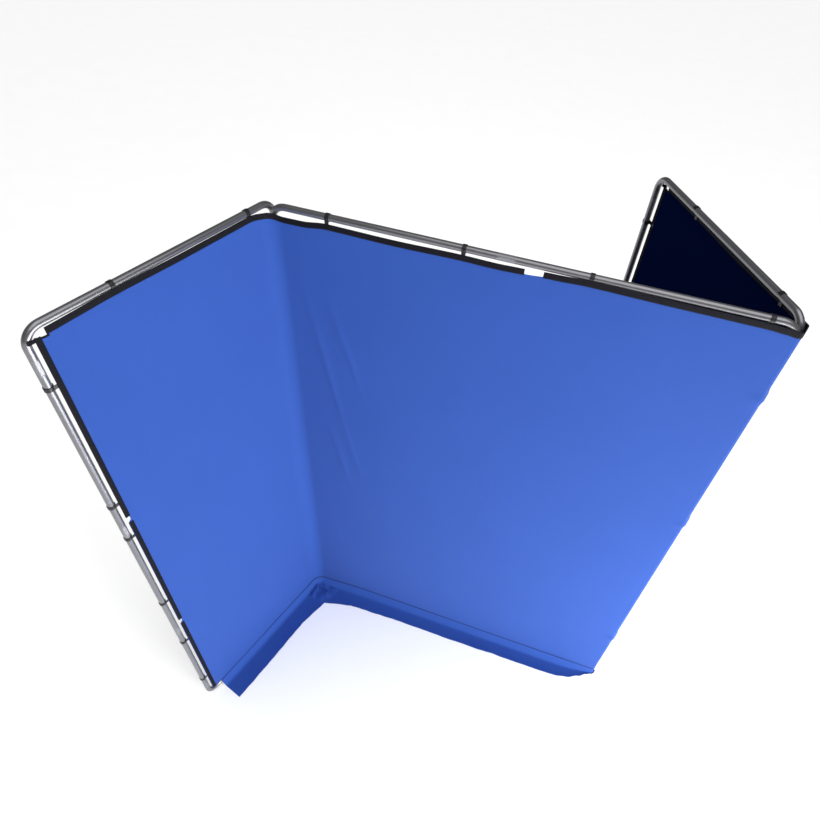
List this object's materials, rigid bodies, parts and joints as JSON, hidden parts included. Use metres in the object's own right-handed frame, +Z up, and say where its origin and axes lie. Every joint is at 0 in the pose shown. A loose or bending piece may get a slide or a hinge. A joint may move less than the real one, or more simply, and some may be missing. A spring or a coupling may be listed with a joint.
{
  "type": "folding backdrop wall",
  "caption": "Free-standing folding partition: a wide centre frame and two narrower side frames of bent aluminium tube, hinged by double clips, with a stretched blue cloth cover.",
  "frame": {"origin": "on the floor, at the middle of the box that encloses the wall as it stands folded at rest", "axes": "+X along the centre frame towards the right-hand hinge, +Y towards the back of the centre frame, +Z up"},
  "size_m": [2.262, 1.9014, 2.9025],
  "materials": {
    "aluminium_tube": "satin drawn tube",
    "cast_aluminium": "matt cast, flat on the front",
    "black_clip_plastic": "fine moulded grain",
    "black_webbing": "woven nylon webbing, stitched both edges",
    "blue_cloth": "brushed stretch knit, chroma blue front and dark navy back"
  },
  "bodies": {
    "centre_frame": {"centre_bottom_tube_left": "aluminium_tube", "centre_bottom_tube_right": "aluminium_tube", "centre_couplers": "cast_aluminium", "centre_cover": "blue_cloth", "centre_cover_clips": "black_clip_plastic", "centre_left_post_lower": "aluminium_tube", "centre_left_post_middle": "aluminium_tube", "centre_left_post_upper": "aluminium_tube", "centre_right_post_lower": "aluminium_tube", "centre_right_post_middle": "aluminium_tube", "centre_right_post_upper": "aluminium_tube", "centre_skirt": "blue_cloth", "centre_top_tube_left": "aluminium_tube", "centre_top_tube_right": "aluminium_tube", "centre_webbing": "black_webbing"},
    "left_frame": {"left_bottom_tube": "aluminium_tube", "left_couplers": "cast_aluminium", "left_cover": "blue_cloth", "left_cover_clips": "black_clip_plastic", "left_inner_post_lower": "aluminium_tube", "left_inner_post_middle": "aluminium_tube", "left_inner_post_upper": "aluminium_tube", "left_outer_post_lower": "aluminium_tube", "left_outer_post_middle": "aluminium_tube", "left_outer_post_upper": "aluminium_tube", "left_side_webbing": "black_webbing", "left_skirt": "blue_cloth", "left_top_tube": "aluminium_tube", "left_top_webbing": "black_webbing"},
    "left_clips": {"left_hinge_clips": "black_clip_plastic"},
    "right_frame": {"right_bottom_tube": "aluminium_tube", "right_couplers": "cast_aluminium", "right_cover": "blue_cloth", "right_cover_clips": "black_clip_plastic", "right_inner_post_lower": "aluminium_tube", "right_inner_post_middle": "aluminium_tube", "right_inner_post_upper": "aluminium_tube", "right_outer_post_lower": "aluminium_tube", "right_outer_post_middle": "aluminium_tube", "right_outer_post_upper": "aluminium_tube", "right_side_webbing": "black_webbing", "right_top_tube": "aluminium_tube", "right_top_webbing": "black_webbing"},
    "right_clips": {"right_hinge_clips": "black_clip_plastic"}
  },
  "joints": [
    {"name": "left_clip_swing", "type": "hinge", "parent": "centre_frame", "child": "left_clips", "pos_m": [-0.81929, 0.01338, 1.45], "axis": [0, 0, 1], "range_deg": [-52, 8]},
    {"name": "left_frame_swing", "type": "hinge", "parent": "left_clips", "child": "left_frame", "pos_m": [-0.83393, 0.04627, 1.45], "axis": [0, 0, 1], "range_deg": [-52, 8]},
    {"name": "right_clip_swing", "type": "hinge", "parent": "centre_frame", "child": "right_clips", "pos_m": [1.10071, 0.01338, 1.45], "axis": [0, 0, 1], "range_deg": [-105.25, 2.25]},
    {"name": "right_frame_swing", "type": "hinge", "parent": "right_clips", "child": "right_frame", "pos_m": [1.11302, 0.04721, 1.45], "axis": [0, 0, 1], "range_deg": [-105.25, 2.25]}
  ],
  "couplings": [
    {"joint": "left_frame_swing", "follows": "left_clip_swing", "ratio": 1},
    {"joint": "right_frame_swing", "follows": "right_clip_swing", "ratio": 1}
  ]
}
